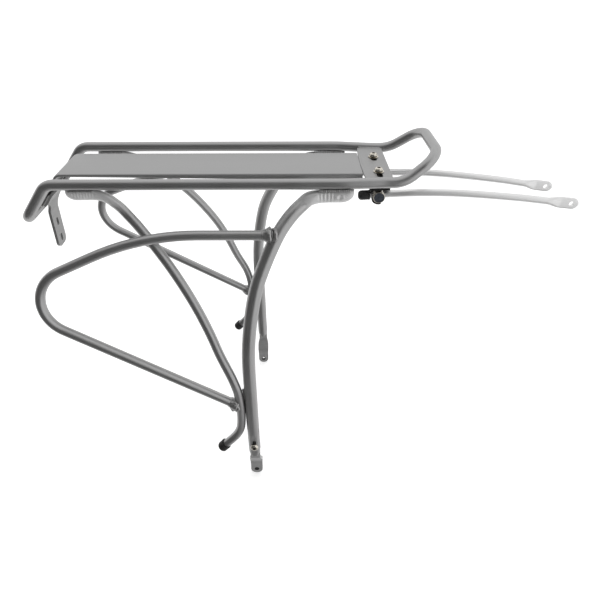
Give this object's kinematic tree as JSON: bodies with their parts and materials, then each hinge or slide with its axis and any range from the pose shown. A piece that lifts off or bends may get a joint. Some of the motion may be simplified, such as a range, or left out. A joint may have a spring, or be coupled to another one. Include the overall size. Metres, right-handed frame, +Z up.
{
  "type": "bicycle rear rack",
  "caption": "Welded tube rack for a bicycle's rear wheel, with a deck channel, raised front hoop, pannier side loops, drop legs with eyelet tabs and clamped adjustable stays.",
  "frame": {"origin": "midway between the two foot eyelets, on the line through their centres", "axes": "+X to the front of the bicycle, +Y to its left side, +Z up"},
  "size_m": [0.5333, 0.2278, 0.3709],
  "materials": {
    "silver_paint": "satin silver-grey paint on welded aluminium tube",
    "bare_aluminium": "bright, lightly brushed",
    "nickel_plate": "nickel-plated steel",
    "black_rubber": "matt black rubber",
    "black_anodised": "black anodised, satin"
  },
  "bodies": {
    "root": {"top_rail": "silver_paint", "deck_channel": "silver_paint", "front_plate": "silver_paint", "reflector_bracket": "silver_paint", "leg_right": "silver_paint", "brace_right": "silver_paint", "pannier_loop_right": "silver_paint", "hook_cap_right": "black_rubber", "leg_left": "silver_paint", "brace_left": "silver_paint", "pannier_loop_left": "silver_paint", "hook_cap_left": "black_rubber"},
    "right_foot": {"foot_tab_right": "bare_aluminium", "foot_screw_right": "nickel_plate"},
    "right_clamp": {"clamp_block_right": "black_anodised", "plate_screw_right": "nickel_plate", "plate_washer_right": "nickel_plate"},
    "right_eye": {"eye_bolt_right": "nickel_plate", "eye_nut_right": "nickel_plate"},
    "right_stay": {"stay_right": "bare_aluminium", "stay_cap_right": "black_rubber"},
    "left_foot": {"foot_tab_left": "bare_aluminium", "foot_screw_left": "nickel_plate"},
    "left_clamp": {"clamp_block_left": "black_anodised", "plate_screw_left": "nickel_plate", "plate_washer_left": "nickel_plate"},
    "left_eye": {"eye_bolt_left": "nickel_plate", "eye_nut_left": "nickel_plate"},
    "left_stay": {"stay_left": "bare_aluminium", "stay_cap_left": "black_rubber"}
  },
  "joints": [
    {"name": "right_foot_slide", "type": "slide", "parent": "root", "child": "right_foot", "axis": [0, 0, 1], "range_m": [0, 0.007]},
    {"name": "right_clamp_slide", "type": "slide", "parent": "root", "child": "right_clamp", "axis": [0, 1, 0], "range_m": [0, 0.0025]},
    {"name": "right_eye_hinge", "type": "hinge", "parent": "right_clamp", "child": "right_eye", "pos_m": [0.1246, -0.0325, 0.3184], "axis": [0, 1, 0], "range_deg": [-7, 12]},
    {"name": "right_stay_slide", "type": "slide", "parent": "right_eye", "child": "right_stay", "axis": [0.999, 0, 0.0446], "range_m": [-0.025, 0.0015]},
    {"name": "left_foot_slide", "type": "slide", "parent": "root", "child": "left_foot", "axis": [0, 0, 1], "range_m": [0, 0.007]},
    {"name": "left_clamp_slide", "type": "slide", "parent": "root", "child": "left_clamp", "axis": [0, 1, 0], "range_m": [-0.007, 0.002]},
    {"name": "left_eye_hinge", "type": "hinge", "parent": "left_clamp", "child": "left_eye", "pos_m": [0.1246, 0.022, 0.3184], "axis": [0, 1, 0], "range_deg": [-7, 12]},
    {"name": "left_stay_slide", "type": "slide", "parent": "left_eye", "child": "left_stay", "axis": [0.9999, 0, 0.015], "range_m": [-0.0235, 0.003]}
  ]
}
